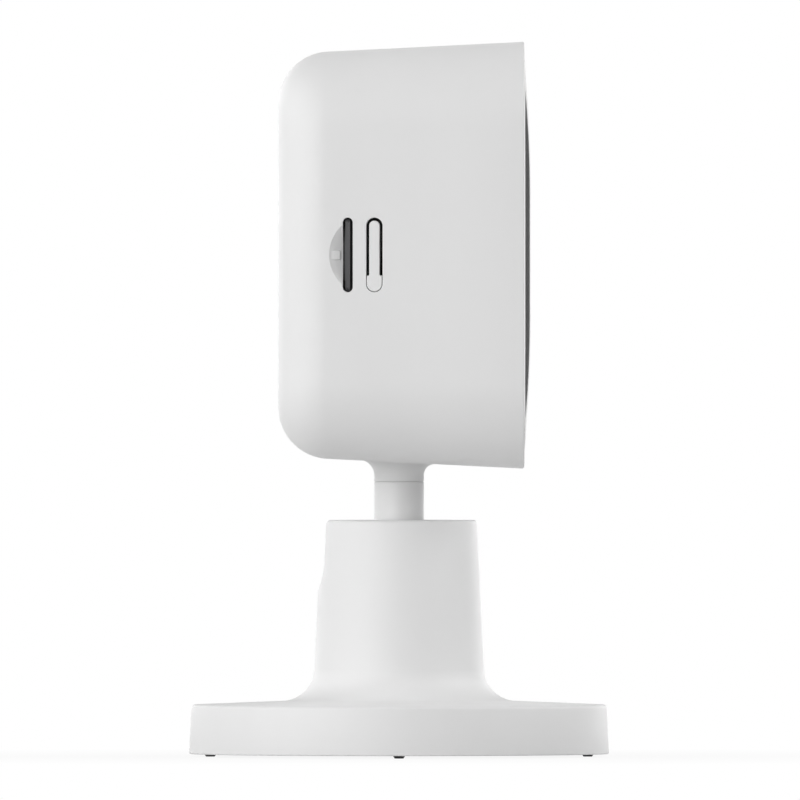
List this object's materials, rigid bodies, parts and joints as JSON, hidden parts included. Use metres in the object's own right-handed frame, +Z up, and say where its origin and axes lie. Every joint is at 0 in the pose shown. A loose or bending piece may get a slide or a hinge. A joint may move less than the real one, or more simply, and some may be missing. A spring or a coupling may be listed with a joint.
{
  "type": "indoor security camera",
  "caption": "Square white camera head with a dark window, on a ball stand that leans and folds flat; swivel neck, card slot, reset key, speaker and keyhole plate.",
  "frame": {"origin": "middle of the stand on the surface that its feet rest on", "axes": "+Z up through the stand and the neck; -Y is the way the window faces; +X is the camera's left"},
  "size_m": [0.064, 0.0632, 0.1073],
  "materials": {
    "white_shell": "fine matt moulded white",
    "white_plate": "fine matt moulded white",
    "black_plastic": "fine matt moulded black",
    "grey_plastic": "plain moulded grey",
    "ivory_plastic": "smooth slippery moulding",
    "window": "polished dark acrylic",
    "clear_cover": "polished and clear",
    "filter_glass": "thin coated glass",
    "lens": "coated, with a violet glint",
    "black_metal": "black anodised, turned",
    "sensor": "polished package with a glass top",
    "coil": "wound enamelled wire",
    "board": "solder mask",
    "lamp": "dark clear epoxy",
    "chip": "small moulded chip",
    "tin": "thin tinned sheet",
    "steel": "plated steel",
    "brass": "bare brass",
    "rubber": "dull soft rubber",
    "film": "thin amber film with copper lines",
    "card": "matt black card",
    "cone": "thin pressed film",
    "painted_stud": "satin white paint",
    "ballast": "black oxide plate"
  },
  "bodies": {
    "stand": {"stand_shell": "white_shell", "socket_cup": "ivory_plastic", "disc_springs": "steel", "socket_retainer": "grey_plastic", "retainer_screws": "steel", "ballast_ring": "ballast", "bottom_plate": "white_plate", "plate_screws": "steel", "rubber_feet": "rubber"},
    "stud": {"ball_stud": "painted_stud", "thrust_washer": "ivory_plastic", "wave_washer": "steel", "swivel_nut": "brass"},
    "head": {"head_shell": "white_shell", "front_frame": "black_plastic", "front_window": "window", "lens_cover": "clear_cover", "lens_baffle": "black_plastic", "lens_glass": "lens", "lens_barrel": "black_metal", "lens_holder": "black_plastic", "image_sensor": "sensor", "filter_coil": "coil", "light_board": "board", "light_board_screws": "steel", "infrared_lamps": "lamp", "status_lamp": "chip", "light_pipe": "clear_cover", "light_sensor": "chip", "microphone": "brass", "microphone_boot": "rubber", "main_board": "board", "board_screws": "steel", "shield_can": "tin", "board_connectors": "ivory_plastic", "ribbon_cable": "film", "card_socket": "black_plastic", "reset_switch": "black_plastic", "wifi_antenna": "film", "speaker_basket": "black_plastic", "speaker_magnet": "steel", "speaker_cone": "cone", "speaker_gasket": "rubber", "power_inlet": "tin"},
    "key": {"reset_key": "white_shell"},
    "plunger": {"switch_plunger": "ivory_plastic"},
    "card": {"memory_card": "card"},
    "filter": {"filter_carriage": "grey_plastic", "filter_panes": "filter_glass"}
  },
  "joints": [
    {"name": "tilt", "type": "hinge", "parent": "stand", "child": "stud", "pos_m": [0, 0, 0.0292], "axis": [1, 0, 0], "range_deg": [-90, 25]},
    {"name": "swivel", "type": "hinge", "parent": "stud", "child": "head", "pos_m": [0, 0, 0.0414], "axis": [0, 0, 1], "range_deg": [-180, 180]},
    {"name": "key_press", "type": "hinge", "parent": "head", "child": "key", "pos_m": [-0.03028, 0.0037, 0.07102], "axis": [0, 1, 0], "range_deg": [0, 1.94], "stiffness_Nm_per_rad": 0.2},
    {"name": "plunger_slide", "type": "slide", "parent": "head", "child": "plunger", "axis": [1, 0, 0], "range_m": [0, 0.00025]},
    {"name": "card_slide", "type": "slide", "parent": "head", "child": "card", "axis": [-1, 0, 0], "range_m": [0, 0.0155]},
    {"name": "filter_slide", "type": "slide", "parent": "head", "child": "filter", "axis": [1, 0, 0], "range_m": [0, 0.007]}
  ],
  "couplings": [
    {"joint": "plunger_slide", "follows": "key_press", "m_per_rad": 0.007345}
  ]
}
